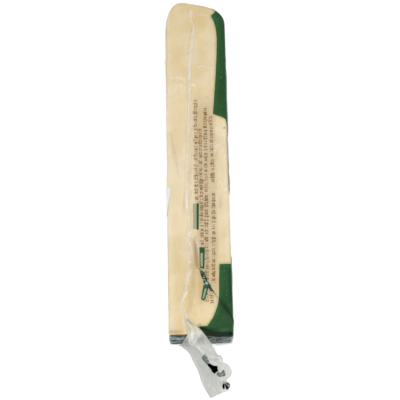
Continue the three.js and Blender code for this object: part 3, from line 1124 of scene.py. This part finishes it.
def seam_strip():
    """The seam: two layers of film, sealed and folded flat along the upper face."""
    route = smooth_path(SEAM_ROUTE, per_span=12)
    upward = Vector((0, math.sin(WEDGE_ANGLE), math.cos(WEDGE_ANGLE)))
    nudge = 0.01

    def place(across, along):
        middle = path_at(route, along)
        ahead, behind = path_at(route, min(along + nudge, 1)), path_at(route, max(along - nudge, 0))
        way = (ahead - behind).xy.normalized()
        wave = noise.noise(Vector((along * SEAM_WAVES, 0.4 * across, 3)))
        aside = across * middle.z * (1 + SEAM_UNEVEN * wave)
        split = np.interp(middle.y, SEAM_SPLIT_PLACES, SEAM_SPLIT)
        crown = (1 - across**2) ** 2 * (SEAM_CROWN + SEAM_CROWN_UNEVEN * wave)
        crown += SEAM_LINE_HEIGHT * split * seam_lines(across)
        lift = SEAM_LIFT * crown - SEAM_SINK * across**2
        return on_bag(middle.x + aside * way.y, middle.y - aside * way.x) + upward * lift * MM

    mesh, lay = laid_grid("seam_strip", SEAM_STEPS, place)
    across = lay[:, 0]
    out = np.array([path_at(route, along).y for _, along in lay])
    split = np.interp(out, SEAM_SPLIT_PLACES, SEAM_SPLIT)
    sheet_milk = (1 - across**4) * (1 - SEAM_CLEAR_SHARE * split)
    line_milk = SEAM_LINE_MILK * split * seam_lines(across)
    milk = np.interp(out, SEAM_PLACES, SEAM_MILK) * (sheet_milk + line_milk)
    add_values(mesh, milk=np.clip(milk, 0, SEAM_MOST_MILK))
    make_sheet("seam_strip", mesh, seam_finish())


def tail_rails():
    """The tail's left edge, ridge and right edge as smooth paths in millimetres."""
    rails = []
    for rail in (TAIL_LEFT_EDGE, TAIL_RIDGE, TAIL_RIGHT_EDGE):
        points = [(across, RIND_FOOT_Y / MM - past, height) for across, past, height in rail]
        rails.append(smooth_path(points, per_span=12))
    return rails


def tail_pleats(across, along):
    """The fine pleats where the tail is gathered, which die out along it."""
    wander = 3 * noise.noise(Vector((along * 4, across, 2)))
    fine = noise.noise(Vector((across * 9, along * 2, 8)))
    return (0.5 * math.sin(13 * across + wander) + fine) * (1 - min(along / TAIL_PLEATS_TO, 1))


def tail_sharp_crease(across, along):
    """How near a place of the tail is to a sharp crease."""
    return 0.25 - abs(noise.noise(Vector((across * 5 + along * 3, along * 6, 9))))


def tail_crumple(across, along):
    """How far the tail's crumples stand off its sheet, in millimetres."""
    soft = noise.noise(Vector((across * 1.8, along * 2.6, 1)))
    crease = 0.3 - abs(noise.noise(Vector((across * 2.2, along * 3.4, 5))))
    loose = 0.6 * soft + 0.35 * crease + 0.6 * tail_sharp_crease(across, along)
    return loose * min(along / TAIL_CRUMPLES_FROM, 1) + 0.25 * tail_pleats(across, along)


def tail_whiteness(lay, strands, creases):
    """How white the tail is: more by its root and on its strands, with painted light on its right side,
    painted highlight at its sharp creases and painted shade in its creases.
    """
    across, along = lay[:, 0], lay[:, 1]
    pleats = np.array([tail_pleats(*place) for place in lay])
    sharp = np.array([tail_sharp_crease(*place) for place in lay])
    root = np.minimum(2 * ramp(along, TAIL_ROOT_TO, 0), 1)
    white = RIGHT_SIDE_WHITE * ramp(across, -0.125, 0.125) + STRAND_WHITE * strands + CREASE_WHITE * creases
    white += root * (ROOT_WHITE + PLEAT_WHITE * pleats) + SHARP_CREASE_WHITE * ramp(sharp, 0.17, 0.25)
    return np.clip(white, 0, 1)


def film_tail(loose_film):
    """The tail: loose film gathered at the rind end and folded over a ridge."""
    left, ridge, right = tail_rails()
    nudge = 0.02

    def sheet(across, along):
        edge = path_at(right if across > 0 else left, min(max(along, 0), 1))
        return path_at(ridge, min(max(along, 0), 1)).lerp(edge, abs(across))

    def place(across, along):
        across_way = sheet(across + nudge, along) - sheet(across - nudge, along)
        along_way = sheet(across, along + nudge) - sheet(across, along - nudge)
        outward = along_way.cross(across_way).normalized()
        held = min(1, 4 * along) ** 2 * min(1, 0.4 + 5 * (1 - along))
        point = sheet(across, along) + outward * tail_crumple(across, along) * held
        point.z = max(point.z, TAIL_LOWEST)
        return point * MM

    mesh, lay = laid_grid("film_tail", TAIL_STEPS, place)
    points, normals = read_points(mesh), read_points(mesh, "normal")
    plan = np.stack([points[:, 0], RIND_FOOT_Y - points[:, 1]], 1) / MM
    strands = soft_lines(plan, TAIL_STRANDS, TAIL_STRAND_WIDTH)
    creases = soft_lines(plan, TAIL_CREASES, TAIL_CREASE_WIDTH)
    lift = np.sign(normals[:, 2]) * (TAIL_STRAND_LIFT * strands - TAIL_CREASE_DEPTH * creases)
    write_points(mesh, points + normals * lift[:, None])
    from_patch = np.linalg.norm(plan - TAIL_CLEAR_MIDDLE, axis=1)
    patch = TAIL_CLEARNESS * np.exp(-((from_patch / TAIL_CLEAR_REACH) ** 2))
    add_values(
        mesh,
        whiteness=tail_whiteness(lay, strands, creases),
        clear=np.maximum(patch, ramp(lay[:, 1], TAIL_CLEAR_TO, 0)),
        grey_mark=deepest_inside(plan, TAIL_GREY_MARKS),
        black_mark=depth_inside(plan, TAIL_BLACK_MARK),
    )
    make_sheet("film_tail", mesh, loose_film)


def tail_curl(loose_film):
    """The tail's outer corner, rolled into a short tube, with painted shade on its inside."""
    lean = Vector(CURL_LEAN).normalized()
    aside = lean.cross(Vector((0, 1, 0))).normalized()
    ahead = lean.cross(aside)

    def place(across, along):
        share = (across + 1) / 2
        turn = CURL_TURNS * math.tau * share
        unrolled = CURL_INNER_SHARE + (1 - CURL_INNER_SHARE) * share
        flared = CURL_FOOT_SHARE + (1 - CURL_FOOT_SHARE) * along
        radius = CURL_RADIUS * unrolled * flared
        around = aside * math.cos(turn) + ahead * math.sin(turn)
        return (Vector(CURL_FOOT) + lean * CURL_LENGTH * along + around * radius) * MM

    mesh, lay = laid_grid("tail_curl", CURL_STEPS, place)
    degrees = 180 * CURL_TURNS * (lay[:, 0] + 1)

    def depth_within(parts):
        depth = np.max([half - np.abs(degrees - middle) for middle, half in parts], axis=0)
        return np.radians(depth) * CURL_RADIUS

    add_values(
        mesh,
        whiteness=np.full(len(lay), CURL_WHITENESS),
        clear=np.zeros(len(lay)),
        grey_mark=depth_within(CURL_GREY_PARTS),
        black_mark=depth_within(CURL_BLACK_PARTS),
    )
    make_sheet("tail_curl", mesh, loose_film)


def lay_floor():
    """A plain pale floor, just under the pack."""
    bm = bmesh.new()
    bmesh.ops.create_grid(bm, x_segments=1, y_segments=1, size=FLOOR_REACH)
    bmesh.ops.translate(bm, vec=(0, 0, -FLOOR_DROP), verts=bm.verts)
    floor = put_in_scene("floor", to_mesh(bm, "floor"))
    finish = Finish("pale_floor")
    floor.data.materials.append(finish.show(finish.coat("Principled", {
        "Base Color": FLOOR_GREY, "Roughness": FLOOR_ROUGHNESS, "Emission Color": WHITE_LIGHT,
        "Emission Strength": FLOOR_GLOW,
    })))


def hang_light(name, place, size, power):
    """A soft box, aimed at the pack."""
    light = bpy.data.lights.new(name, "AREA")
    light.shape = "DISK"
    light.size = size
    light.energy = power
    lamp = put_in_scene(name, light)
    lamp.location = place
    lamp.rotation_euler = (-Vector(place)).to_track_quat("-Z", "Y").to_euler()


def set_light():
    """A softly lit room with four soft boxes."""
    world = bpy.data.worlds.new("soft_room")
    world.use_nodes = True
    room = world.node_tree.nodes["Background"].inputs
    room["Color"].default_value = WHITE_LIGHT
    room["Strength"].default_value = ROOM_LIGHT
    bpy.context.scene.world = world
    for name, (place, size, power) in SOFT_BOXES.items():
        hang_light(name, place, size, power)
    bpy.context.scene.view_settings.view_transform = "Standard"


def set_camera():
    """The camera, looking straight down."""
    camera = bpy.data.cameras.new("camera")
    camera.lens = CAMERA_LENS
    camera.sensor_width = CAMERA_SENSOR
    holder = put_in_scene("camera", camera)
    holder.location = CAMERA_PLACE
    holder.rotation_euler = (0, 0, CAMERA_TURN)
    bpy.context.scene.camera = holder


wedge_blank = cut_wedge()
cheese_wedge(wedge_blank)
film_skin(wedge_blank)
seam_strip()
tail_film = tail_finish()
film_tail(tail_film)
tail_curl(tail_film)
bpy.data.meshes.remove(wedge_blank)
lay_floor()
set_light()
set_camera()
